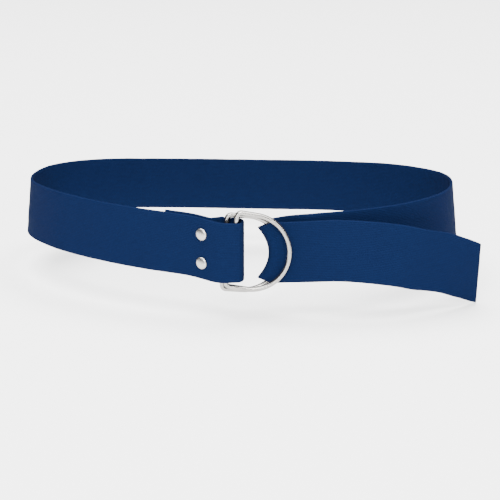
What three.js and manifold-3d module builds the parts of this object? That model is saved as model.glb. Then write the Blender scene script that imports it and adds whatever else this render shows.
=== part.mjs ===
// A webbing football belt: one strap, two D-rings in its riveted fold, and two rivets.
// Millimetres, +Z up. The viewer's side is -Y, and the origin is the middle of the waist opening.
import * as THREE from 'three';
import { mergeVertices } from 'three/addons/utils/BufferGeometryUtils.js';
import Module from 'manifold-3d';

// Driving dimensions of the strap
const webbingWidth = 38.1;
const webbingThickness = 1.6;
const waistWidth = 286.5;
const waistDepth = 145.3;
const leanDegrees = 6.5;
const buckleDip = 3.5;
const buckleOffset = 6.1;
const buckleReach = 0.973;
const foldBackLength = 48.3;
const tailLength = 119.3;
const clearance = 0.3;

// Driving dimensions of the rings
const ringHeight = 49.2;
const ringWidth = 38.4;
const ringWireWide = 2.8;
const ringWireDeep = 4;
const ringCornerRadius = 4;
const cornerExponent = 0.6;
const ringPitch = 4.4;
const ringGap = 0.8;
const frontRingRollDegrees = 9.5;
const backRingRollDegrees = 4.5;
const backRingTurnDegrees = 4.5;
const frontRingLift = 1.2;
const backRingPlay = 0.8;
const backRingDrop = 2.0;

// Driving dimensions of the fold round the rings' straight bars, and of the strap's turn
const foldNose = 3.5;
const foldNoseReach = 2.1;
const foldSlump = 0.35;
const foldBackRise = 0.8;
const foldNarrowing = 0.033;
const foldDrawLength = 25;
const turnLooseness = 2.3;
const turnDrop = 3.3;
const standingRise = 0.75;
const turnRise = 0.9;
const turnSag = 7.0;
const turnNarrowing = 0.17;
const trailLength = 28.5;
const drawLength = 8.5;
const squareToBuckle = 20;
const roundFromBuckle = 60;

// Driving dimensions of the rivets
const rivetHeadDiameter = 7.5;
const rivetHeadRise = 1.6;
const rivetBackRise = 0.9;
const rivetRimShare = 0.25;
const rivetBackShare = 0.85;
const rivetShankDiameter = 3;
const rivetInset = 25.8;
const rivetSpacingShare = 0.47;
const rivetSeat = 0.5;

// Fineness of the facets
const cellsAcross = 6;
const loopStep = 8;
const tailStep = 7;
const foldStep = 3;
const spareSteps = 3;
const bowSteps = 22;
const cornerSteps = 4;
const domeSteps = 5;
const bendSteps = 8;
const ringSides = 12;
const rivetSides = 20;
const weldDistance = 1e-4;

const rivetSpacing = webbingWidth * rivetSpacingShare;
const halfWidth = waistWidth / 2;
const halfDepth = waistDepth / 2;
const lean = THREE.MathUtils.degToRad(leanDegrees);
const layerPitch = webbingThickness + clearance;
const wireToStrap = ringWireDeep / 2 + clearance + webbingThickness / 2;

// The loop seen from above, clockwise from the buckle's left: shares of half the waist's width
// and depth, of the dip at the buckle, and of the lean.
const loopRows = [
  { x: -0.220, y: -0.885, dip: 0.60, lean: 1.0 },
  { x: -0.430, y: -0.735, dip: 0.30, lean: 1.0 },
  { x: -0.640, y: -0.525, dip: 0.08, lean: 1.0 },
  { x: -0.850, y: -0.210, dip: 0.00, lean: 1.0 },
  { x: -0.985, y: 0.180, dip: 0.25, lean: 1.0 },
  { x: -1.000, y: 0.480, dip: 0.40, lean: 1.0 },
  { x: -0.930, y: 0.770, dip: 0.28, lean: 1.05 },
  { x: -0.720, y: 0.970, dip: 0.20, lean: 1.1 },
  { x: -0.420, y: 0.995, dip: 0.20, lean: 1.1 },
  { x: 0.050, y: 0.945, dip: 0.20, lean: 1.1 },
  { x: 0.470, y: 0.880, dip: 0.20, lean: 1.1 },
  { x: 0.770, y: 0.745, dip: 0.20, lean: 1.1 },
  { x: 0.960, y: 0.430, dip: 0.10, lean: 1.05 },
  { x: 0.989, y: 0.095, dip: 0.00, lean: 1.0 },
  { x: 0.910, y: -0.300, dip: 0.00, lean: 1.0 },
  { x: 0.710, y: -0.635, dip: 0.04, lean: 1.0 },
  { x: 0.500, y: -0.795, dip: 0.20, lean: 1.0 },
  { x: 0.300, y: -0.865, dip: 0.55, lean: 1.0 },
];

// The tail past the rings: shares of its length to the right, towards the back and down, and
// its lean as a share of the loop's.
const tailRows = [
  { right: 0.05, back: 0.000, down: 0.016, lean: 1.0 },
  { right: 0.25, back: -0.030, down: -0.001, lean: 1.5 },
  { right: 0.40, back: -0.040, down: 0.005, lean: 1.7 },
  { right: 0.55, back: -0.020, down: 0.029, lean: 1.5 },
  { right: 0.67, back: 0.010, down: 0.060, lean: 1.0 },
  { right: 0.80, back: 0.050, down: 0.093, lean: 0.3 },
  { right: 0.90, back: 0.085, down: 0.133, lean: -0.4 },
  { right: 1.00, back: 0.125, down: 0.179, lean: -1.0 },
];

// The buckle in plan: the bars' places, and the strap's layers in front of and behind them.
const buckle = new THREE.Vector3(-buckleOffset, -halfDepth * buckleReach, -buckleDip);
const backRingTurn = THREE.MathUtils.degToRad(backRingTurnDegrees);
const barSeparation = ringWireDeep + ringGap - ringPitch * Math.tan(backRingTurn);
const ringReach = ringWidth - ringWireWide;
const backBar = { x: buckle.x - ringPitch, y: buckle.y + barSeparation };
const backCurve = { x: backBar.x + ringReach, y: backBar.y + ringReach * Math.tan(backRingTurn) };
const frontLayerY = buckle.y - wireToStrap;
const backLayerY = backBar.y + wireToStrap + backRingPlay;
const tailLayerY = buckle.y + wireToStrap;
const standingLayerY = backCurve.y + wireToStrap + backRingPlay;
const frontRingRoll = THREE.MathUtils.degToRad(frontRingRollDegrees);
const backRingRoll = THREE.MathUtils.degToRad(backRingRollDegrees);
const foldCentreX = buckle.x + ringWireWide / 2 + foldNoseReach;
const foldEdgeX = foldCentreX + foldNose + webbingThickness / 2;
const turnZ = buckle.z - turnDrop;
const standingZ = turnZ - turnRise;
const tailZ = turnZ + turnRise;
const turnCentreX = backCurve.x - ringWireWide / 2 - turnLooseness;

// A place on the strap's middle line: its point, and how far its top tilts to the inside of the
// loop. Its edges trail behind its middle at the turn, and draw together at the fold and the turn.
function place(x, y, z, inward, tilt = lean) {
  return { point: new THREE.Vector3(x, y, z), inward, tilt, trail: 0, narrow: 1 };
}

const toBack = new THREE.Vector3(0, 1, 0);

function curvePoints(points, step) {
  const curve = new THREE.CatmullRomCurve3(points, false, 'centripetal');
  return curve.getSpacedPoints(Math.ceil(curve.getLength() / step));
}

// The outer layer from the fold round the waist to the standing part behind the rings.
function loopPlaces() {
  const rows = loopRows.map((row) => new THREE.Vector3(
    row.x * halfWidth, row.y * halfDepth, -row.dip * buckleDip));
  const first = [
    new THREE.Vector3(foldCentreX, frontLayerY, buckle.z),
    new THREE.Vector3(backBar.x - ringWireWide, frontLayerY, buckle.z),
  ];
  const last = [
    new THREE.Vector3(backCurve.x + ringWireWide, standingLayerY, standingZ * standingRise),
    new THREE.Vector3(turnCentreX, standingLayerY, standingZ),
  ];
  const keys = [...first, ...rows, ...last];
  const leans = [1, 1, ...loopRows.map((row) => row.lean), 1, 1];
  const curve = new THREE.CatmullRomCurve3(keys, false, 'centripetal');
  const count = Math.ceil(curve.getLength() / loopStep);
  const points = curve.getSpacedPoints(count);
  return points.map((point, i) => {
    const before = points[Math.max(i - 1, 0)];
    const after = points[Math.min(i + 1, points.length - 1)];
    const along = after.clone().sub(before).setZ(0).normalize();
    const awayFromBuckle = THREE.MathUtils.smoothstep(
      Math.abs(point.x), squareToBuckle, roundFromBuckle);
    const side = point.y < 0 ? awayFromBuckle : 1;
    const inward = new THREE.Vector3(along.y, -along.x, 0).multiplyScalar(side)
      .addScaledVector(toBack, 1 - side).normalize();
    const at = curve.getUtoTmapping(i / count) * (keys.length - 1);
    const row = Math.min(Math.floor(at), keys.length - 2);
    const tilt = lean * THREE.MathUtils.lerp(leans[row], leans[row + 1], at - row);
    return place(point.x, point.y, point.z, inward, tilt);
  });
}

// A half turn in plan about a centre, from one angle and height to the other.
function bendPlaces(centre, radiusX, radiusY, from, to, low, high) {
  const places = [];
  for (let i = 0; i <= bendSteps; i++) {
    const angle = THREE.MathUtils.degToRad(from + ((to - from) * i) / bendSteps);
    const x = centre.x + radiusX * Math.cos(angle);
    const y = centre.y + radiusY * Math.sin(angle);
    places.push(place(x, y, THREE.MathUtils.lerp(low, high, i / bendSteps), toBack));
  }
  return places;
}

// The fold's inner layer: it follows the outer one, and gapes round the rings' bars.
function innerPlaces(outer) {
  const gape = backLayerY - frontLayerY - layerPitch;
  const gapeStart = foldEdgeX - rivetInset + rivetHeadDiameter / 2 + clearance;
  const barFoot = backBar.x - (ringHeight / 2) * Math.sin(backRingRoll);
  const gapeEnd = barFoot - ringWireWide - foldStep / 2;
  const steps = Math.round(foldBackLength / foldStep);
  const reach = Math.ceil(foldBackLength / loopStep) + spareSteps;
  const followed = outer.slice(0, reach).map((p) => p.point);
  const line = new THREE.CatmullRomCurve3(followed, false, 'centripetal');
  const length = line.getLength();
  const places = [];
  for (let i = steps; i >= 1; i--) {
    const share = (foldBackLength * i) / steps / length;
    const point = line.getPointAt(share);
    const along = line.getTangentAt(share).setZ(0).normalize();
    const inward = new THREE.Vector3(along.y, -along.x, 0);
    const open = THREE.MathUtils.smootherstep(point.x, gapeStart, gapeEnd);
    point.addScaledVector(inward, layerPitch + gape * open);
    const rise = foldBackRise * (1 - open);
    places.push(place(point.x, point.y, point.z + rise, toBack));
  }
  return places;
}

function tailPlaces() {
  const start = new THREE.Vector3(buckle.x + ringReach, tailLayerY, buckle.z);
  const points = [new THREE.Vector3(turnCentreX, tailLayerY, tailZ)];
  const leans = [1];
  for (const row of tailRows) {
    points.push(new THREE.Vector3(
      start.x + row.right * tailLength, start.y + row.back * tailLength, start.z - row.down * tailLength));
    leans.push(row.lean);
  }
  const spaced = curvePoints(points, tailStep);
  return spaced.map((point) => {
    let i = 1;
    while (i < points.length - 1 && points[i].x < point.x) i++;
    const share = (point.x - points[i - 1].x) / (points[i].x - points[i - 1].x);
    const tilt = lean * THREE.MathUtils.lerp(leans[i - 1], leans[i], share);
    return place(point.x, point.y, point.z, toBack, tilt);
  });
}

function strapPlaces() {
  const foldCentre = { x: foldCentreX, y: (frontLayerY + backLayerY) / 2 };
  const turnCentre = { x: turnCentreX, y: (tailLayerY + standingLayerY) / 2 };
  const foldRadius = (backLayerY - frontLayerY) / 2;
  const turnRadius = (standingLayerY - tailLayerY) / 2;
  const outer = loopPlaces();
  const fold = bendPlaces(foldCentre, foldNose, foldRadius, 90, -90, buckle.z, buckle.z);
  const turn = bendPlaces(turnCentre, turnRadius, turnRadius, 90, 270, standingZ, tailZ);
  const places = [...innerPlaces(outer), ...fold, ...outer.slice(1, -1), ...turn, ...tailPlaces().slice(1)];
  const turnStart = places.indexOf(turn[0]) - Math.ceil(trailLength / loopStep);
  const noseX = turnCentreX - turnRadius;
  for (const p of places.slice(turnStart)) {
    p.trail = 1 - THREE.MathUtils.smoothstep(p.point.x, turnCentreX, turnCentreX + trailLength);
    p.narrow = 1 - turnNarrowing * (1 - THREE.MathUtils.smoothstep(p.point.x, noseX, noseX + drawLength));
  }
  const foldEnd = places.indexOf(fold[0]) + fold.length + Math.ceil(foldDrawLength / loopStep);
  for (const p of places.slice(0, foldEnd)) {
    const share = THREE.MathUtils.smoothstep(p.point.x, foldEdgeX - foldDrawLength, foldEdgeX);
    p.narrow = 1 - foldNarrowing * share;
    p.point.z -= foldSlump * share;
  }
  return places;
}

// The webbing's section: rows across its width on both faces, with a rounded selvedge.
function sectionPoints() {
  const half = webbingWidth / 2;
  const skin = webbingThickness / 2;
  const points = [];
  for (let i = 0; i <= cellsAcross; i++) {
    points.push({ up: (half - skin / 2) * (1 - (2 * i) / cellsAcross), out: skin });
  }
  points.push({ up: -half, out: 0 });
  for (let i = 0; i <= cellsAcross; i++) {
    points.push({ up: -(half - skin / 2) * (1 - (2 * i) / cellsAcross), out: -skin });
  }
  points.push({ up: half, out: 0 });
  return points;
}

// A closed body through rings of points: capped at both ends, or joined end to start.
function loft(rings, joined) {
  const sides = rings[0].length;
  const positions = rings.flat().flatMap((p) => [p.x, p.y, p.z]);
  const index = [];
  const count = joined ? rings.length : rings.length - 1;
  for (let i = 0; i < count; i++) {
    const next = (i + 1) % rings.length;
    for (let j = 0; j < sides; j++) {
      const k = (j + 1) % sides;
      const [a, b, c, d] = [i * sides + j, i * sides + k, next * sides + j, next * sides + k];
      index.push(a, c, b, b, c, d);
    }
  }
  if (!joined) {
    capEnd(index, 0, sides, true);
    capEnd(index, (rings.length - 1) * sides, sides, false);
  }
  const geometry = new THREE.BufferGeometry();
  geometry.setAttribute('position', new THREE.Float32BufferAttribute(positions, 3));
  geometry.setIndex(index);
  return geometry;
}

// An end face as a strip between the section's two faces, closed by its two selvedge points.
function capEnd(index, start, sides, first) {
  const add = (a, b, c) => index.push(start + a, start + (first ? b : c), start + (first ? c : b));
  const rows = sides / 2 - 1;
  const across = (i) => sides - 2 - i;
  for (let i = 0; i < rows; i++) {
    add(i, i + 1, across(i));
    add(i + 1, across(i + 1), across(i));
  }
  add(rows, rows + 1, across(rows));
  add(sides - 1, 0, across(0));
}

// The strap's frame at a place: along it, out of its face, and up its width, which a slope
// stretches.
function strapFrame(places, i) {
  const before = places[Math.max(i - 1, 0)].point;
  const after = places[Math.min(i + 1, places.length - 1)].point;
  const ahead = after.clone().sub(before);
  const along = ahead.clone().setZ(0);
  const stretch = ahead.length() / along.length();
  along.normalize();
  const { inward, tilt } = places[i];
  const up = new THREE.Vector3(0, 0, Math.cos(tilt)).addScaledVector(inward, Math.sin(tilt));
  const out = new THREE.Vector3(-along.y, along.x, 0);
  out.addScaledVector(up, -out.dot(up)).normalize();
  return { along, out, up, stretch };
}

function strapGeometry(places) {
  const section = sectionPoints();
  const half = webbingWidth / 2;
  const rings = places.map((p, i) => {
    const { out, up, stretch } = strapFrame(places, i);
    const wide = stretch * p.narrow;
    return section.map((s) => {
      const point = p.point.clone().addScaledVector(out, s.out).addScaledVector(up, s.up * wide);
      point.x -= turnSag * p.trail * (s.up / half) ** 2;
      return point;
    });
  });
  return loft(rings, false);
}

// Turns an ellipse's cosine or sine into that of a rectangle with well rounded corners.
function roundedCorner(value) {
  return Math.sign(value) * Math.abs(value) ** cornerExponent;
}

// A D-ring in its own plane, x to the curved side and z up, with its straight bar at x = 0.
function ringGeometry() {
  const rise = (ringHeight - ringWireWide) / 2;
  const corner = ringCornerRadius - ringWireWide / 2;
  const bow = ringReach - rise;
  const line = [];
  const arc = (x, z, radius, from, to, steps) => {
    for (let i = 0; i <= steps; i++) {
      const angle = THREE.MathUtils.degToRad(from + ((to - from) * i) / steps);
      line.push(new THREE.Vector2(x + radius * Math.cos(angle), z + radius * Math.sin(angle)));
    }
  };
  arc(bow, 0, rise, -90, 90, bowSteps);
  arc(corner, rise - corner, corner, 90, 180, cornerSteps);
  arc(corner, corner - rise, corner, 180, 270, cornerSteps);
  const rings = line.map((p, i) => {
    const before = line[(i + line.length - 1) % line.length];
    const after = line[(i + 1) % line.length];
    const along = after.clone().sub(before).normalize();
    const side = new THREE.Vector2(along.y, -along.x);
    const ring = [];
    for (let k = 0; k < ringSides; k++) {
      const angle = (2 * Math.PI * (k + 0.5)) / ringSides;
      const wide = (ringWireWide / 2) * roundedCorner(Math.cos(angle));
      const deep = (ringWireDeep / 2) * roundedCorner(Math.sin(angle));
      ring.push(new THREE.Vector3(p.x + side.x * wide, -deep, p.y + side.y * wide));
    }
    return ring;
  });
  return loft(rings, true);
}

// A rivet along +Z from the strap's outer face: domed head, shank through both layers, back head.
function rivetGeometry() {
  const radius = rivetHeadDiameter / 2;
  const shank = rivetShankDiameter / 2;
  const grip = 2 * webbingThickness + clearance + 2 * rivetSeat;
  const rim = rivetHeadRise * rivetRimShare;
  const profile = [new THREE.Vector2(0, -grip - rivetBackRise)];
  profile.push(new THREE.Vector2(radius * rivetBackShare, -grip - rivetBackRise));
  profile.push(new THREE.Vector2(radius, -grip - rivetBackRise / 2));
  profile.push(new THREE.Vector2(radius, -grip));
  profile.push(new THREE.Vector2(shank, -grip));
  profile.push(new THREE.Vector2(shank, 0));
  profile.push(new THREE.Vector2(radius, 0));
  for (let i = 0; i < domeSteps; i++) {
    const angle = (Math.PI / 2) * (i / domeSteps);
    const height = rim + (rivetHeadRise - rim) * Math.sin(angle);
    profile.push(new THREE.Vector2(radius * Math.cos(angle), height));
  }
  profile.push(new THREE.Vector2(0, rivetHeadRise));
  const lathe = new THREE.LatheGeometry(profile, rivetSides);
  lathe.rotateX(Math.PI / 2);
  return lathe;
}

// The rivets' places: on the outer layer, a set distance to the left of the fold's edge.
function rivetFrames(places) {
  let i = places.findIndex((p) => p.point.y < (frontLayerY + buckle.y) / 2);
  while (places[i].point.x > foldEdgeX - rivetInset) i++;
  const [right, left] = [places[i - 1], places[i]];
  const share = (right.point.x - (foldEdgeX - rivetInset)) / (right.point.x - left.point.x);
  const centre = right.point.clone().lerp(left.point, share);
  const { along, out, up } = strapFrame(places, i);
  const turn = new THREE.Matrix4().makeBasis(along.clone().negate(), up, out);
  return [1, -1].map((side) => ({
    turn,
    point: centre.clone()
      .addScaledVector(up, (side * rivetSpacing) / 2)
      .addScaledVector(out, webbingThickness / 2 + rivetSeat),
  }));
}

const wasm = await Module();
wasm.setup();

function toSolid(geometry) {
  const bare = geometry.clone();
  bare.deleteAttribute('normal');
  bare.deleteAttribute('uv');
  const merged = mergeVertices(bare, weldDistance);
  return new wasm.Manifold(new wasm.Mesh({
    numProp: 3,
    vertProperties: Float32Array.from(merged.attributes.position.array),
    triVerts: Uint32Array.from(merged.index.array),
  }));
}

function toGeometry(solid) {
  const mesh = solid.getMesh();
  const geometry = new THREE.BufferGeometry();
  geometry.setAttribute('position', new THREE.BufferAttribute(mesh.vertProperties, 3));
  geometry.setIndex(new THREE.BufferAttribute(mesh.triVerts, 1));
  geometry.computeVertexNormals();
  return geometry;
}

// The strap with a hole for each rivet's shank through both layers.
function piercedStrap(places, frames) {
  let solid = toSolid(strapGeometry(places));
  const depth = 2 * (webbingThickness + clearance + rivetSeat) + clearance;
  for (const frame of frames) {
    const bore = new THREE.CylinderGeometry(
      rivetShankDiameter / 2 + clearance, rivetShankDiameter / 2 + clearance, depth, rivetSides);
    bore.rotateX(Math.PI / 2);
    bore.translate(0, 0, rivetSeat - depth / 2);
    bore.applyMatrix4(frame.turn.clone().setPosition(frame.point));
    solid = solid.subtract(toSolid(bore));
  }
  return toGeometry(solid);
}

const webbing = new THREE.MeshStandardMaterial({ color: 0x16325a, roughness: 0.9, metalness: 0 });
const nickel = new THREE.MeshStandardMaterial({ color: 0xc9c6c1, roughness: 0.25, metalness: 1 });

const belt = new THREE.Group();

function addMesh(name, geometry, material) {
  const mesh = new THREE.Mesh(geometry, material.clone());
  mesh.name = name;
  belt.add(mesh);
  return mesh;
}

const places = strapPlaces();
const frames = rivetFrames(places);
addMesh('strap', piercedStrap(places, frames), webbing);

const frontRing = addMesh('d_ring_front', ringGeometry(), nickel);
frontRing.position.set(buckle.x, buckle.y, buckle.z + frontRingLift);
frontRing.rotation.set(-lean, frontRingRoll, 0);

const backRing = addMesh('d_ring_back', ringGeometry(), nickel);
backRing.position.set(backBar.x, backBar.y, buckle.z - backRingDrop);
backRing.rotation.set(-lean, backRingRoll, backRingTurn, 'XZY');

['rivet_upper', 'rivet_lower'].forEach((name, i) => {
  const rivet = addMesh(name, rivetGeometry(), nickel);
  rivet.applyMatrix4(frames[i].turn.clone().setPosition(frames[i].point));
});

export default belt;
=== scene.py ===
import bisect
import math
from dataclasses import dataclass

import bmesh
import bpy
from mathutils import Matrix, Vector, noise


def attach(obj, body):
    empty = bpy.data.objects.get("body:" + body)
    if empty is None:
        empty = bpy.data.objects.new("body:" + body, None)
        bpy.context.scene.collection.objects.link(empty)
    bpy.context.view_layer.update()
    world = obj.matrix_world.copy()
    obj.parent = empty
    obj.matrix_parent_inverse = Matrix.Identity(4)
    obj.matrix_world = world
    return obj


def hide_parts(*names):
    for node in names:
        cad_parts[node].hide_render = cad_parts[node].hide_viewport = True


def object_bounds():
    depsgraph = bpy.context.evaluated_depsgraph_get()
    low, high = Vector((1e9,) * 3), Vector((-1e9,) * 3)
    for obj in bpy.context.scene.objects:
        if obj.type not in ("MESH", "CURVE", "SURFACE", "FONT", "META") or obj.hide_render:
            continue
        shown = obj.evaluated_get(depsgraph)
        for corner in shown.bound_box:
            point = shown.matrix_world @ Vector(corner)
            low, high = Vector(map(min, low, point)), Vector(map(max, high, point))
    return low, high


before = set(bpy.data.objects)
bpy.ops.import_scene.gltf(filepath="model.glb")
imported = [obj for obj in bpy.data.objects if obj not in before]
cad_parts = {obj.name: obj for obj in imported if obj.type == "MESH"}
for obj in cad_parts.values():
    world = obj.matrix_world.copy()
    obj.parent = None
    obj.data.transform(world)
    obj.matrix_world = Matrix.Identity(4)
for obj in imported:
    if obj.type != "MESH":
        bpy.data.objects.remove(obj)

cad_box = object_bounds()
MM = 0.001

# Driving dimensions of the strap
WEBBING_WIDTH = 38.1 * MM
WEBBING_THICKNESS = 1.6 * MM
WAIST_WIDTH = 286.5 * MM
WAIST_DEPTH = 145.3 * MM
LEAN = math.radians(6.5)
BUCKLE_DIP = 3.5 * MM
BUCKLE_OFFSET = 6.1 * MM
BUCKLE_REACH = 0.973
FOLD_BACK_LENGTH = 48.3 * MM
TAIL_LENGTH = 119.3 * MM
CLEARANCE = 0.3 * MM

# Driving dimensions of the rings
RING_HEIGHT = 49.2 * MM
RING_WIDTH = 38.4 * MM
RING_WIRE_WIDE = 2.8 * MM
RING_WIRE_DEEP = 4 * MM
RING_CORNER_RADIUS = 4 * MM
RING_PITCH = 4.4 * MM
RING_GAP = 0.8 * MM
FRONT_RING_ROLL = math.radians(9.5)
BACK_RING_ROLL = math.radians(4.5)
BACK_RING_TURN = math.radians(4.5)
FRONT_RING_LIFT = 1.2 * MM
BACK_RING_PLAY = 0.8 * MM
BACK_RING_DROP = 2.0 * MM
CORNER_EXPONENT = 0.6

# Driving dimensions of the fold round the rings' straight bars, and of the strap's turn
FOLD_NOSE = 3.5 * MM
FOLD_NOSE_REACH = 2.1 * MM
FOLD_SLUMP = 0.35 * MM
FOLD_BACK_RISE = 0.8 * MM
FOLD_NARROWING = 0.033
FOLD_DRAW_LENGTH = 25 * MM
FOLD_SLACK = 1.5 * MM
TURN_LOOSENESS = 2.3 * MM
TURN_DROP = 3.3 * MM
STANDING_RISE = 0.75
TURN_RISE = 0.9 * MM
TURN_SAG = 7.0 * MM
TURN_NARROWING = 0.17
TRAIL_LENGTH = 28.5 * MM
DRAW_LENGTH = 8.5 * MM
SQUARE_TO_BUCKLE = 20 * MM
ROUND_FROM_BUCKLE = 60 * MM

# Driving dimensions of the rivets
RIVET_HEAD_DIAMETER = 7.5 * MM
RIVET_HEAD_RISE = 1.6 * MM
RIVET_BACK_RISE = 0.9 * MM
RIVET_SHANK_DIAMETER = 3 * MM
RIVET_INSET = 25.8 * MM
RIVET_SPACING_SHARE = 0.47
RIVET_RIM_SHARE = 0.25
RIVET_DENT_DEPTH = 0.3 * MM
RIVET_DENT_RADIUS = 4.2 * MM
RIVET_DENT_REACH = 3
RIVET_SUNK_SHARE = 0.7
RIVET_BACK_ROUNDING = 0.5

# Fineness of the meshes
CELLS_ACROSS = 26
SELVEDGE_STEPS = 6
STRAP_STEP = 1.8 * MM
BEND_STEPS = 24
CURVE_FINENESS = 48
RING_SIDES = 28
BOW_STEPS = 72
CORNER_STEPS = 10
RIVET_SIDES = 56
DOME_STEPS = 14

# The fold's inner layer follows a route along the outer one: the route's length as a share of
# the layer's, and the spans to each side that give its direction
FOLLOWED_SHARE = 1.5
TANGENT_SPAN = 0.5

# The cloth's small unevenness, away from the buckle
RIPPLE_HEIGHT = 0.22 * MM
RIPPLE_LENGTH = 24 * MM
EDGE_WAVER = 0.12 * MM
EDGE_WAVER_LENGTH = 9 * MM
EDGE_WAVER_POWER = 4
EDGE_WAVER_SEED = 3
RIPPLE_SEED = 2

# The weave: ribs along the strap and picks across it
RIB_PITCH = 1.05 * MM
PICK_PITCH = 1.5 * MM
PICK_LOW = 0.62
WEAVE_BUMP = 0.5
WEAVE_RELIEF = 0.2 * MM

# The cloth's shade, which changes along its threads and in large patches, and its finish
THREAD_STREAKS = 140
THREAD_SHADE = 0.10
CLOTH_SCALE = 38.0
CLOTH_DETAIL = 3.0
CLOTH_SHADE = 0.06
CLOTH_ROUGHNESS = (0.82, 0.96)
CLOTH_SPECULAR = 0.02

# The nickel plate's uneven polish, and its handling marks
NICKEL_CLOUD_SCALE = 260.0
NICKEL_CLOUD_DETAIL = 3.0
NICKEL_DIMMING = 0.94
POLISH_SPREAD = 0.1
RING_POLISH = 0.20
RIVET_POLISH = 0.28
NICKEL_MARK_SCALE = 1500.0
NICKEL_MARK_DETAIL = 4.0
NICKEL_BUMP = 0.04
NICKEL_RELIEF = 0.05 * MM

# The photograph's view: the point looked at, and where it lies in the frame
PHOTO_SIZE = 500
FOCAL_PIXELS = 1240
VIEW_ELEVATION = math.radians(18)
VIEW_DISTANCE = 0.78
LOOKED_AT = Vector((0, -0.0439, 0))
LOOKED_AT_RIGHT = -9
LOOKED_AT_UP = 18
SENSOR_WIDTH = 36

# Colours, as linear red, green, blue and alpha
# The webbing's crown colour, and a darker copy of it that is painted shade in the grooves between
# the ribs
WEBBING_CROWN = (0.0037, 0.0090, 0.0345, 1)
WEBBING_GROOVE_PAINTED_SHADE = (0.0023, 0.0056, 0.0222, 1)
RING_NICKEL = (0.31, 0.30, 0.285, 1)
RIVET_NICKEL = (0.44, 0.428, 0.41, 1)
FLOOR_COLOUR = (0.93, 0.93, 0.93, 1)

# The stage
FLOOR_SIZE = 12
FLOOR_GAP = 0.5 * MM
FLOOR_ROUGHNESS = 0.95
FLOOR_SPECULAR = 0.1
WORLD_STRENGTH = 0.22
LAMPS = [
    # name, place, size, power
    ("overhead", (0, 0.3, 3.2), 5.0, 740),
    ("key", (-0.3, -2.2, 1.5), 0.9, 90),
    ("fill", (1.0, -2.0, 0.9), 0.8, 26),
    ("glint", (-0.15, -1.6, 0.12), 0.22, 4),
]

RIVET_SPACING = WEBBING_WIDTH * RIVET_SPACING_SHARE
HALF_WIDTH = WAIST_WIDTH / 2
HALF_DEPTH = WAIST_DEPTH / 2
LAYER_PITCH = WEBBING_THICKNESS + CLEARANCE
WIRE_TO_STRAP = RING_WIRE_DEEP / 2 + CLEARANCE + WEBBING_THICKNESS / 2

# The loop seen from above, clockwise from the buckle's left: shares of half the waist's width
# and depth, of the dip at the buckle, and of the lean.
LOOP_ROWS = [
    # x, y, dip, lean
    (-0.220, -0.885, 0.60, 1.0),
    (-0.430, -0.735, 0.30, 1.0),
    (-0.640, -0.525, 0.08, 1.0),
    (-0.850, -0.210, 0.00, 1.0),
    (-0.985, 0.180, 0.25, 1.0),
    (-1.000, 0.480, 0.40, 1.0),
    (-0.930, 0.770, 0.28, 1.05),
    (-0.720, 0.970, 0.20, 1.1),
    (-0.420, 0.995, 0.20, 1.1),
    (0.050, 0.945, 0.20, 1.1),
    (0.470, 0.880, 0.20, 1.1),
    (0.770, 0.745, 0.20, 1.1),
    (0.960, 0.430, 0.10, 1.05),
    (0.989, 0.095, 0.00, 1.0),
    (0.910, -0.300, 0.00, 1.0),
    (0.710, -0.635, 0.04, 1.0),
    (0.500, -0.795, 0.20, 1.0),
    (0.300, -0.865, 0.55, 1.0),
]

# The tail past the rings: shares of its length to the right, towards the back and down, and
# its lean as a share of the loop's.
TAIL_ROWS = [
    # right, back, down, lean
    (0.05, 0.000, 0.016, 1.0),
    (0.25, -0.030, -0.001, 1.5),
    (0.40, -0.040, 0.005, 1.7),
    (0.55, -0.020, 0.029, 1.5),
    (0.67, 0.010, 0.060, 1.0),
    (0.80, 0.050, 0.093, 0.3),
    (0.90, 0.085, 0.133, -0.4),
    (1.00, 0.125, 0.179, -1.0),
]

# The buckle in plan: the bars' places, and the strap's layers in front of and behind them.
BUCKLE = Vector((-BUCKLE_OFFSET, -HALF_DEPTH * BUCKLE_REACH, -BUCKLE_DIP))
BAR_SEPARATION = RING_WIRE_DEEP + RING_GAP - RING_PITCH * math.tan(BACK_RING_TURN)
RING_REACH = RING_WIDTH - RING_WIRE_WIDE
BACK_BAR = Vector((BUCKLE.x - RING_PITCH, BUCKLE.y + BAR_SEPARATION))
BACK_CURVE = Vector((BACK_BAR.x + RING_REACH, BACK_BAR.y + RING_REACH * math.tan(BACK_RING_TURN)))
FRONT_LAYER_Y = BUCKLE.y - WIRE_TO_STRAP
BACK_LAYER_Y = BACK_BAR.y + WIRE_TO_STRAP + BACK_RING_PLAY
TAIL_LAYER_Y = BUCKLE.y + WIRE_TO_STRAP
STANDING_LAYER_Y = BACK_CURVE.y + WIRE_TO_STRAP + BACK_RING_PLAY
FOLD_CENTRE_X = BUCKLE.x + RING_WIRE_WIDE / 2 + FOLD_NOSE_REACH
FOLD_EDGE_X = FOLD_CENTRE_X + FOLD_NOSE + WEBBING_THICKNESS / 2
TURN_Z = BUCKLE.z - TURN_DROP
STANDING_Z = TURN_Z - TURN_RISE
TAIL_Z = TURN_Z + TURN_RISE
TURN_CENTRE_X = BACK_CURVE.x - RING_WIRE_WIDE / 2 - TURN_LOOSENESS
TO_BACK = Vector((0, 1, 0))


def mix(a, b, share):
    return a + (b - a) * share


def ramp(x, low, high):
    return min(max((x - low) / (high - low), 0), 1)


def smoothstep(x, low, high):
    t = ramp(x, low, high)
    return t * t * (3 - 2 * t)


def smootherstep(x, low, high):
    t = ramp(x, low, high)
    return t ** 3 * (t * (6 * t - 15) + 10)


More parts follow.
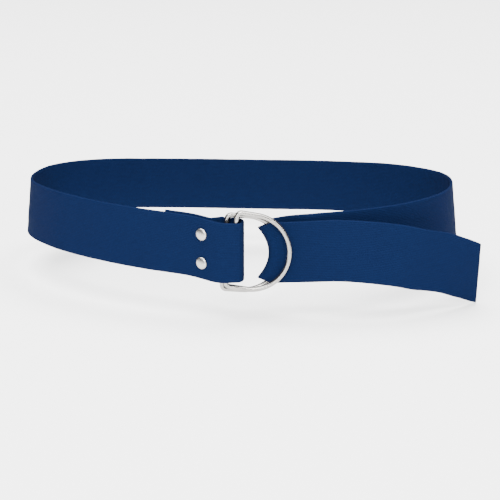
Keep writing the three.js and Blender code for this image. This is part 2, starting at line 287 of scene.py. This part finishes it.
class Route:
    """A centripetal Catmull-Rom curve through points, read by shares of its length."""

    def __init__(self, points):
        self.points = points
        self.spans = len(points) - 1
        self.line = [self.at(i / CURVE_FINENESS) for i in range(self.spans * CURVE_FINENESS + 1)]
        self.reached = [0.0]
        for before, after in zip(self.line, self.line[1:]):
            self.reached.append(self.reached[-1] + (after - before).length)
        self.length = self.reached[-1]

    def at(self, t):
        """The point t spans along, by a cubic whose ends' slopes weigh the roots of the chords."""
        i = min(int(t), self.spans - 1)
        share = t - i
        b, c = self.points[i], self.points[i + 1]
        a = self.points[i - 1] if i > 0 else 2 * b - c
        d = self.points[i + 2] if i + 2 <= self.spans else 2 * c - b
        ab, bc, cd = math.sqrt((b - a).length), math.sqrt((c - b).length), math.sqrt((d - c).length)
        start = ((b - a) / ab - (c - a) / (ab + bc) + (c - b) / bc) * bc
        end = ((c - b) / bc - (d - b) / (bc + cd) + (d - c) / cd) * bc
        square, cube = share ** 2, share ** 3
        return (b * (2 * cube - 3 * square + 1) + c * (3 * square - 2 * cube)
                + start * (cube - 2 * square + share) + end * (cube - square))

    def parameter(self, share):
        """How many spans along a share of the length lies."""
        wanted = share * self.length
        i = min(max(bisect.bisect_right(self.reached, wanted) - 1, 0), len(self.line) - 2)
        part = (wanted - self.reached[i]) / (self.reached[i + 1] - self.reached[i])
        return min((i + part) / CURVE_FINENESS, self.spans)

    def spaced(self, step):
        """The parameters of points spread evenly, at most a step apart."""
        count = math.ceil(self.length / step)
        return [self.parameter(i / count) for i in range(count + 1)]


@dataclass
class Place:
    """A place on the strap's middle line, and how far its top tilts to the inside of the loop.

    Its edges trail behind its middle at the turn, and draw together at the fold and the turn.
    Ripple is how much of the cloth's unevenness shows there."""
    point: Vector
    inward: Vector
    tilt: float
    trail: float = 0.0
    narrow: float = 1.0
    ripple: float = 0.0


def table_lean(leans, t):
    i = min(int(t), len(leans) - 2)
    return LEAN * mix(leans[i], leans[i + 1], t - i)


def flat_direction(points, i):
    """The horizontal direction of travel at a point of a row of points."""
    ahead = points[min(i + 1, len(points) - 1)] - points[max(i - 1, 0)]
    return Vector((ahead.x, ahead.y, 0)).normalized()


def loop_places():
    """The outer layer from the fold round the waist to the standing part behind the rings."""
    first = [
        Vector((FOLD_CENTRE_X, FRONT_LAYER_Y, BUCKLE.z)),
        Vector((BACK_BAR.x - RING_WIRE_WIDE, FRONT_LAYER_Y, BUCKLE.z)),
    ]
    rows = [Vector((x * HALF_WIDTH, y * HALF_DEPTH, -dip * BUCKLE_DIP))
            for x, y, dip, _ in LOOP_ROWS]
    last = [
        Vector((BACK_CURVE.x + RING_WIRE_WIDE, STANDING_LAYER_Y, STANDING_Z * STANDING_RISE)),
        Vector((TURN_CENTRE_X, STANDING_LAYER_Y, STANDING_Z)),
    ]
    leans = [1, 1, *(row[3] for row in LOOP_ROWS), 1, 1]
    route = Route([*first, *rows, *last])
    parameters = route.spaced(STRAP_STEP)
    points = [route.at(t) for t in parameters]
    places = []
    for i, (t, point) in enumerate(zip(parameters, points)):
        along = flat_direction(points, i)
        away = smoothstep(abs(point.x), SQUARE_TO_BUCKLE, ROUND_FROM_BUCKLE)
        side = away if point.y < 0 else 1
        inward = (Vector((along.y, -along.x, 0)) * side + TO_BACK * (1 - side)).normalized()
        places.append(Place(point, inward, table_lean(leans, t), ripple=side))
    return places


def bend_places(centre, radius_x, radius_y, start, end, low, high):
    """A half turn in plan about a centre, from one angle in degrees and height to the other."""
    places = []
    for i in range(BEND_STEPS + 1):
        angle = math.radians(mix(start, end, i / BEND_STEPS))
        x = centre.x + radius_x * math.cos(angle)
        y = centre.y + radius_y * math.sin(angle)
        z = mix(low, high, i / BEND_STEPS)
        places.append(Place(Vector((x, y, z)), TO_BACK, LEAN))
    return places


def inner_places(outer):
    """The fold's inner layer: it follows the outer one, and gapes round the rings' bars."""
    gape = BACK_LAYER_Y - FRONT_LAYER_Y - LAYER_PITCH
    gape_start = FOLD_EDGE_X - RIVET_INSET + RIVET_HEAD_DIAMETER / 2 + CLEARANCE
    bar_foot = BACK_BAR.x - (RING_HEIGHT / 2) * math.sin(BACK_RING_ROLL)
    gape_end = bar_foot - RING_WIRE_WIDE - FOLD_SLACK
    steps = round(FOLD_BACK_LENGTH / STRAP_STEP)
    reach = math.ceil(FOLLOWED_SHARE * steps)
    route = Route([place.point for place in outer[:reach]])
    points = []
    for i in range(steps, 0, -1):
        t = route.parameter(FOLD_BACK_LENGTH * i / steps / route.length)
        point = route.at(t)
        ahead = route.at(min(t + TANGENT_SPAN, route.spans))
        nudge = ahead - route.at(max(t - TANGENT_SPAN, 0))
        along = Vector((nudge.x, nudge.y, 0)).normalized()
        opened = smootherstep(point.x, gape_start, gape_end)
        inward = Vector((along.y, -along.x, 0)) * (LAYER_PITCH + gape * opened)
        points.append(point + inward + Vector((0, 0, FOLD_BACK_RISE * (1 - opened))))
    return [Place(point, TO_BACK, LEAN) for point in points]


def tail_places():
    start = Vector((BUCKLE.x + RING_REACH, TAIL_LAYER_Y, BUCKLE.z))
    points = [Vector((TURN_CENTRE_X, TAIL_LAYER_Y, TAIL_Z))]
    points += [start + Vector((right, back, -down)) * TAIL_LENGTH
               for right, back, down, _ in TAIL_ROWS]
    leans = [1, *(row[3] for row in TAIL_ROWS)]
    route = Route(points)
    places = []
    for t in route.spaced(STRAP_STEP):
        point = route.at(t)
        ripple = smoothstep(point.x, ROUND_FROM_BUCKLE, 2 * ROUND_FROM_BUCKLE)
        places.append(Place(point, TO_BACK, table_lean(leans, t), ripple=ripple))
    return places


def strap_places():
    fold_centre = Vector((FOLD_CENTRE_X, (FRONT_LAYER_Y + BACK_LAYER_Y) / 2))
    turn_centre = Vector((TURN_CENTRE_X, (TAIL_LAYER_Y + STANDING_LAYER_Y) / 2))
    fold_radius = (BACK_LAYER_Y - FRONT_LAYER_Y) / 2
    turn_radius = (STANDING_LAYER_Y - TAIL_LAYER_Y) / 2
    outer = loop_places()
    fold = bend_places(fold_centre, FOLD_NOSE, fold_radius, 90, -90, BUCKLE.z, BUCKLE.z)
    turn = bend_places(turn_centre, turn_radius, turn_radius, 90, 270, STANDING_Z, TAIL_Z)
    inner = inner_places(outer)
    before_turn = [*inner, *fold, *outer[1:-1]]
    turn_start = len(before_turn) - math.ceil(TRAIL_LENGTH / STRAP_STEP)
    places = [*before_turn, *turn, *tail_places()[1:]]
    nose_x = TURN_CENTRE_X - turn_radius
    for place in places[turn_start:]:
        place.trail = 1 - smoothstep(place.point.x, TURN_CENTRE_X, TURN_CENTRE_X + TRAIL_LENGTH)
        drawn = 1 - smoothstep(place.point.x, nose_x, nose_x + DRAW_LENGTH)
        place.narrow = 1 - TURN_NARROWING * drawn
    fold_end = len(inner) + len(fold) + math.ceil(FOLD_DRAW_LENGTH / STRAP_STEP)
    for place in places[:fold_end]:
        share = smoothstep(place.point.x, FOLD_EDGE_X - FOLD_DRAW_LENGTH, FOLD_EDGE_X)
        place.narrow = 1 - FOLD_NARROWING * share
        place.point.z -= FOLD_SLUMP * share
    return places, len(inner) + len(fold) - 1


def section_points():
    """The webbing's section as (up, out): two flat faces joined by round selvedges."""
    skin = WEBBING_THICKNESS / 2
    flat = WEBBING_WIDTH / 2 - skin
    points = []
    for side in (1, -1):
        for i in range(CELLS_ACROSS + 1):
            points.append((side * flat * (1 - 2 * i / CELLS_ACROSS), side * skin))
        for i in range(1, SELVEDGE_STEPS):
            angle = math.pi * i / SELVEDGE_STEPS
            points.append((-side * (flat + skin * math.sin(angle)), side * skin * math.cos(angle)))
    return points


def strap_frame(points, place, i):
    """The strap's frame at a place: along it, out, and up its width, which a slope stretches."""
    ahead = points[min(i + 1, len(points) - 1)] - points[max(i - 1, 0)]
    along = Vector((ahead.x, ahead.y, 0))
    stretch = ahead.length / along.length
    along.normalize()
    up = Vector((0, 0, math.cos(place.tilt))) + place.inward * math.sin(place.tilt)
    out = Vector((-along.y, along.x, 0))
    out = (out - up * out.dot(up)).normalized()
    return along, out, up, stretch


def loft_faces(ring_count, sides, joined):
    """The quads between rings of points, the last one joined to the first where that is asked."""
    faces = []
    for i in range(ring_count if joined else ring_count - 1):
        here, there = i * sides, ((i + 1) % ring_count) * sides
        for j in range(sides):
            k = (j + 1) % sides
            faces.append((here + j, there + j, there + k, here + k))
    return faces


def end_faces(start, sides):
    """A strap's end as a ladder from the middle of one selvedge to the middle of the other."""
    top = sides - SELVEDGE_STEPS // 2
    faces = []
    for k in range(sides // 2):
        corners = (top + k, top + k + 1, top - k - 1, top - k)
        faces.append(list(dict.fromkeys(start + corner % sides for corner in corners)))
    return faces


def new_piece(name, vertices, faces, material, node):
    """A closed mesh, facing out, that rides on the belt and stands for a CAD node."""
    mesh = bpy.data.meshes.new(name)
    mesh.from_pydata(vertices, [], faces)
    shape = bmesh.new()
    shape.from_mesh(mesh)
    bmesh.ops.recalc_face_normals(shape, faces=shape.faces)
    shape.to_mesh(mesh)
    shape.free()
    mesh.shade_smooth()
    mesh.materials.append(material)
    piece = bpy.data.objects.new(name, mesh)
    bpy.context.scene.collection.objects.link(piece)
    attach(piece, "root")
    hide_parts(node)
    return piece


def rivet_matrices(places, outer_start):
    """The rivets' places, +Z out of the strap's outer face, midway through both layers."""
    wanted = FOLD_EDGE_X - RIVET_INSET
    i = outer_start
    while places[i].point.x > wanted:
        i += 1
    right, left = places[i - 1].point, places[i].point
    centre = right.lerp(left, (right.x - wanted) / (right.x - left.x))
    along, out, up, _ = strap_frame([place.point for place in places], places[i], i)
    turn = Matrix((-along, up, out)).transposed().to_4x4()
    matrices = []
    for side in (1, -1):
        point = centre + up * (side * RIVET_SPACING / 2) - out * (LAYER_PITCH / 2)
        matrices.append(Matrix.Translation(point) @ turn)
    return matrices


def dented(point, matrices):
    """A point of the strap's two outer faces, drawn in where a rivet clamps it."""
    for matrix in matrices:
        local = matrix.inverted() @ point
        radial = math.hypot(local.x, local.y)
        skin = abs(local.z) - LAYER_PITCH / 2
        near = radial < RIVET_DENT_REACH * RIVET_DENT_RADIUS
        if near and 0 < skin < WEBBING_THICKNESS:
            depth = RIVET_DENT_DEPTH * math.exp(-(radial / RIVET_DENT_RADIUS) ** 2)
            local.z -= math.copysign(depth, local.z)
            point = matrix @ local
    return point


def uneven(length, length_scale, height, seed):
    """A small smooth wander along the strap."""
    return height * noise.noise(Vector((length / length_scale, seed, 0)))


def make_strap(places, matrices, material):
    section = section_points()
    points = [place.point for place in places]
    half = WEBBING_WIDTH / 2
    vertices = []
    weave = []
    length = 0.0
    for i, place in enumerate(places):
        if i > 0:
            length += (points[i] - points[i - 1]).length
        _, out, up, stretch = strap_frame(points, place, i)
        wide = stretch * place.narrow
        for s_up, s_out in section:
            edge = s_up / half
            seed = math.copysign(EDGE_WAVER_SEED, edge)
            wander = uneven(length, EDGE_WAVER_LENGTH, EDGE_WAVER * place.ripple, seed)
            seed = RIPPLE_SEED * edge
            ripple = uneven(length, RIPPLE_LENGTH, RIPPLE_HEIGHT * place.ripple, seed)
            rise = s_up * wide + wander * edge ** EDGE_WAVER_POWER
            point = place.point + up * rise + out * (s_out + ripple)
            point.x -= TURN_SAG * place.trail * edge ** 2
            vertices.append(dented(point, matrices))
            weave.append((length, s_up, s_out))
    sides = len(section)
    faces = loft_faces(len(places), sides, False)
    faces += end_faces(0, sides) + end_faces((len(places) - 1) * sides, sides)
    strap = new_piece("webbing_strap", vertices, faces, material, "strap")
    attribute = strap.data.attributes.new("weave", "FLOAT_VECTOR", "POINT")
    for item, value in zip(attribute.data, weave):
        item.vector = value
    for face in strap.data.polygons[-2 * (sides // 2):]:
        face.use_smooth = False


def rounded_corner(value):
    """Turns an ellipse's cosine or sine into that of a rectangle with well rounded corners."""
    return math.copysign(abs(value) ** CORNER_EXPONENT, value)


def ring_line():
    """A D-ring's middle line in its own plane, x to the curved side, its straight bar at x = 0."""
    rise = (RING_HEIGHT - RING_WIRE_WIDE) / 2
    corner = RING_CORNER_RADIUS - RING_WIRE_WIDE / 2
    arcs = [
        (RING_REACH - rise, 0, rise, -90, 90, BOW_STEPS),
        (corner, rise - corner, corner, 90, 180, CORNER_STEPS),
        (corner, corner - rise, corner, 180, 270, CORNER_STEPS),
    ]
    line = []
    for x, z, radius, start, end, steps in arcs:
        for i in range(steps + 1):
            angle = math.radians(mix(start, end, i / steps))
            line.append(Vector((x + radius * math.cos(angle), z + radius * math.sin(angle))))
    return line


def ring_matrix(origin, turn):
    """A ring's place in the fold, where it leans with the strap."""
    return Matrix.Translation(origin) @ Matrix.Rotation(-LEAN, 4, "X") @ turn


def make_ring(name, matrix, material, node):
    line = ring_line()
    vertices = []
    for i, point in enumerate(line):
        along = (line[(i + 1) % len(line)] - line[i - 1]).normalized()
        for k in range(RING_SIDES):
            angle = 2 * math.pi * (k + 0.5) / RING_SIDES
            wide = RING_WIRE_WIDE / 2 * rounded_corner(math.cos(angle))
            deep = RING_WIRE_DEEP / 2 * rounded_corner(math.sin(angle))
            local = Vector((point.x + along.y * wide, -deep, point.y - along.x * wide))
            vertices.append(matrix @ local)
    faces = loft_faces(len(line), RING_SIDES, True)
    new_piece(name, vertices, faces, material, node)


def rivet_profile():
    """A rivet's outline as (radius, height), from the back head's middle to the dome's top."""
    radius = RIVET_HEAD_DIAMETER / 2
    shank = RIVET_SHANK_DIAMETER / 2
    seat = LAYER_PITCH / 2 + WEBBING_THICKNESS / 2 - RIVET_DENT_DEPTH * RIVET_SUNK_SHARE
    rim = RIVET_HEAD_RISE * RIVET_RIM_SHARE
    chamfer = rim / 2
    profile = []
    for i in range(DOME_STEPS + 1):
        angle = math.pi / 2 * (1 - i / DOME_STEPS)
        drop = RIVET_BACK_RISE * math.sin(angle) ** RIVET_BACK_ROUNDING
        profile.append((radius * math.cos(angle), -seat - drop))
    profile += [(shank, -seat), (shank, seat), (radius - chamfer, seat), (radius, seat + chamfer)]
    for i in range(DOME_STEPS + 1):
        angle = math.pi / 2 * i / DOME_STEPS
        height = seat + rim + (RIVET_HEAD_RISE - rim) * math.sin(angle)
        profile.append((radius * math.cos(angle), height))
    return profile


def make_rivet(name, matrix, material, node):
    bottom, *profile, top = rivet_profile()
    vertices = []
    for radius, height in profile:
        for k in range(RIVET_SIDES):
            angle = 2 * math.pi * k / RIVET_SIDES
            point = Vector((radius * math.cos(angle), radius * math.sin(angle), height))
            vertices.append(matrix @ point)
    faces = loft_faces(len(profile), RIVET_SIDES, False)
    for (_, height), start in ((bottom, 0), (top, len(vertices) - RIVET_SIDES)):
        pole = len(vertices)
        vertices.append(matrix @ Vector((0, 0, height)))
        faces += [(start + k, start + (k + 1) % RIVET_SIDES, pole) for k in range(RIVET_SIDES)]
    new_piece(name, vertices, faces, material, node)


class Shader:
    """A material's nodes; a node's inputs are numbers, or other nodes' outputs."""

    def __init__(self, name):
        self.material = bpy.data.materials.new(name)
        self.material.use_nodes = True
        self.tree = self.material.node_tree
        self.surface = self.tree.nodes["Principled BSDF"]

    def put(self, socket, value):
        if isinstance(value, bpy.types.NodeSocket):
            self.tree.links.new(value, socket)
        else:
            socket.default_value = value

    def node(self, kind, inputs, output=0, **settings):
        node = self.tree.nodes.new(kind)
        for name, value in settings.items():
            setattr(node, name, value)
        for name, value in inputs.items():
            self.put(node.inputs[name], value)
        return node.outputs[output]

    def math(self, operation, *values):
        return self.node("ShaderNodeMath", dict(enumerate(values)), operation=operation)

    def noise(self, vector, scale, detail=2.0):
        inputs = {"Vector": vector, "Scale": scale, "Detail": detail}
        return self.node("ShaderNodeTexNoise", inputs, "Fac")

    def between(self, factor, low, high):
        """A factor from 0 to 1 turned into a number between two others."""
        return self.node("ShaderNodeMapRange", {"Value": factor, "To Min": low, "To Max": high})

    def blend(self, factor, a, b):
        node = self.tree.nodes.new("ShaderNodeMix")
        node.data_type = "RGBA"
        self.put(node.inputs["Factor"], factor)
        colours = [socket for socket in node.inputs if socket.type == "RGBA"]
        self.put(colours[0], a)
        self.put(colours[1], b)
        return [socket for socket in node.outputs if socket.type == "RGBA"][0]

    def bump(self, height, strength, distance):
        inputs = {"Height": height, "Strength": strength, "Distance": distance}
        self.put(self.surface.inputs["Normal"], self.node("ShaderNodeBump", inputs))

    def finish(self, **inputs):
        for name, value in inputs.items():
            self.put(self.surface.inputs[name.replace("_", " ")], value)
        return self.material


def webbing_material():
    """Matte navy webbing: lengthwise ribs, crossed by picks that go over every other rib; its
    colour carries painted shade, darker in the grooves between the ribs.
    """
    shader = Shader("navy_webbing")
    weave = shader.node("ShaderNodeAttribute", {}, "Vector", attribute_name="weave")
    split = shader.tree.nodes.new("ShaderNodeSeparateXYZ")
    shader.put(split.inputs[0], weave)
    along, across = split.outputs["X"], split.outputs["Y"]
    rib = shader.math("DIVIDE", across, RIB_PITCH)
    rib_number = shader.math("FLOOR", rib)
    crown = shader.math("SINE", shader.math("MULTIPLY", shader.math("FRACT", rib), math.pi))
    pick = shader.math("MULTIPLY", along, 2 * math.pi / PICK_PITCH)
    pick = shader.math("ADD", pick, shader.math("MULTIPLY", rib_number, math.pi))
    pick = shader.between(shader.math("SINE", pick), PICK_LOW, 1.0)
    height = shader.math("MULTIPLY", crown, pick)
    streak = shader.math("MULTIPLY", along, THREAD_STREAKS)
    thread = shader.node("ShaderNodeCombineXYZ", {"X": streak, "Y": rib_number})
    thread_shade = shader.noise(thread, 1.0)
    cloth_shade = shader.noise(weave, CLOTH_SCALE, CLOTH_DETAIL)
    # Painted shade: the colour darkens from the ribs' crowns into the grooves and where the picks
    # dip, following the relief's height
    depth = shader.blend(height, WEBBING_GROOVE_PAINTED_SHADE, WEBBING_CROWN)
    thread_wear = shader.between(thread_shade, -THREAD_SHADE, THREAD_SHADE)
    cloth_wear = shader.between(cloth_shade, -CLOTH_SHADE, CLOTH_SHADE)
    worn = shader.math("ADD", thread_wear, cloth_wear)
    value = shader.math("ADD", worn, 1.0)
    colour = shader.node("ShaderNodeHueSaturation", {"Value": value, "Color": depth})
    shader.bump(height, WEAVE_BUMP, WEAVE_RELIEF)
    roughness = shader.between(cloth_shade, *CLOTH_ROUGHNESS)
    return shader.finish(
        Base_Color=colour, Roughness=roughness, Specular_IOR_Level=CLOTH_SPECULAR)


def nickel_material(name, tint, polish):
    """Polished nickel plate: faint handling marks and a slightly uneven polish."""
    shader = Shader(name)
    place = shader.node("ShaderNodeTexCoord", {}, "Object")
    cloud = shader.noise(place, NICKEL_CLOUD_SCALE, NICKEL_CLOUD_DETAIL)
    marks = shader.noise(place, NICKEL_MARK_SCALE, NICKEL_MARK_DETAIL)
    dimmer = tuple(NICKEL_DIMMING * channel for channel in tint[:3]) + (1,)
    colour = shader.blend(cloud, dimmer, tint)
    shader.bump(marks, NICKEL_BUMP, NICKEL_RELIEF)
    roughness = shader.between(cloud, polish, polish + POLISH_SPREAD)
    return shader.finish(Base_Color=colour, Metallic=1.0, Roughness=roughness)


def floor_material():
    shader = Shader("pale_floor")
    return shader.finish(
        Base_Color=FLOOR_COLOUR, Roughness=FLOOR_ROUGHNESS, Specular_IOR_Level=FLOOR_SPECULAR)


def make_floor():
    bpy.ops.mesh.primitive_plane_add(size=FLOOR_SIZE, location=(0, 0, cad_box[0][2] - FLOOR_GAP))
    floor = bpy.context.object
    floor.name = "floor"
    floor.data.materials.append(floor_material())


def make_light(name, location, size, power):
    light = bpy.data.lights.new(name, "AREA")
    light.shape = "DISK"
    light.size = size
    light.energy = power
    lamp = bpy.data.objects.new(name, light)
    bpy.context.scene.collection.objects.link(lamp)
    lamp.location = location
    lamp.rotation_euler = (LOOKED_AT - lamp.location).to_track_quat("-Z", "Y").to_euler()


def make_world():
    world = bpy.data.worlds.new("studio")
    world.use_nodes = True
    background = world.node_tree.nodes["Background"]
    background.inputs["Color"].default_value = (1, 1, 1, 1)
    background.inputs["Strength"].default_value = WORLD_STRENGTH
    bpy.context.scene.world = world


def make_camera():
    camera = bpy.data.cameras.new("photo_camera")
    camera.sensor_width = SENSOR_WIDTH
    camera.lens = FOCAL_PIXELS / PHOTO_SIZE * SENSOR_WIDTH
    holder = bpy.data.objects.new("photo_camera", camera)
    bpy.context.scene.collection.objects.link(holder)
    aim = Vector((0, -math.cos(VIEW_ELEVATION), math.sin(VIEW_ELEVATION)))
    holder.location = LOOKED_AT + aim * VIEW_DISTANCE
    pitch = VIEW_ELEVATION + math.atan(LOOKED_AT_UP / FOCAL_PIXELS)
    yaw = math.atan(LOOKED_AT_RIGHT / FOCAL_PIXELS)
    level = math.cos(pitch)
    forward = Vector((-math.sin(yaw) * level, math.cos(yaw) * level, -math.sin(pitch)))
    holder.rotation_euler = forward.to_track_quat("-Z", "Y").to_euler()
    bpy.context.scene.camera = holder


places, outer_start = strap_places()
rivets = rivet_matrices(places, outer_start)
make_strap(places, rivets, webbing_material())

ring_nickel = nickel_material("ring_nickel", RING_NICKEL, RING_POLISH)
front_origin = BUCKLE + Vector((0, 0, FRONT_RING_LIFT))
front_turn = Matrix.Rotation(FRONT_RING_ROLL, 4, "Y")
make_ring("ring_front", ring_matrix(front_origin, front_turn), ring_nickel, "d_ring_front")
back_origin = Vector((BACK_BAR.x, BACK_BAR.y, BUCKLE.z - BACK_RING_DROP))
back_turn = Matrix.Rotation(BACK_RING_TURN, 4, "Z") @ Matrix.Rotation(BACK_RING_ROLL, 4, "Y")
make_ring("ring_back", ring_matrix(back_origin, back_turn), ring_nickel, "d_ring_back")

rivet_nickel = nickel_material("rivet_nickel", RIVET_NICKEL, RIVET_POLISH)
make_rivet("rivet_head_upper", rivets[0], rivet_nickel, "rivet_upper")
make_rivet("rivet_head_lower", rivets[1], rivet_nickel, "rivet_lower")

make_floor()
make_world()
for lamp in LAMPS:
    make_light(*lamp)
make_camera()
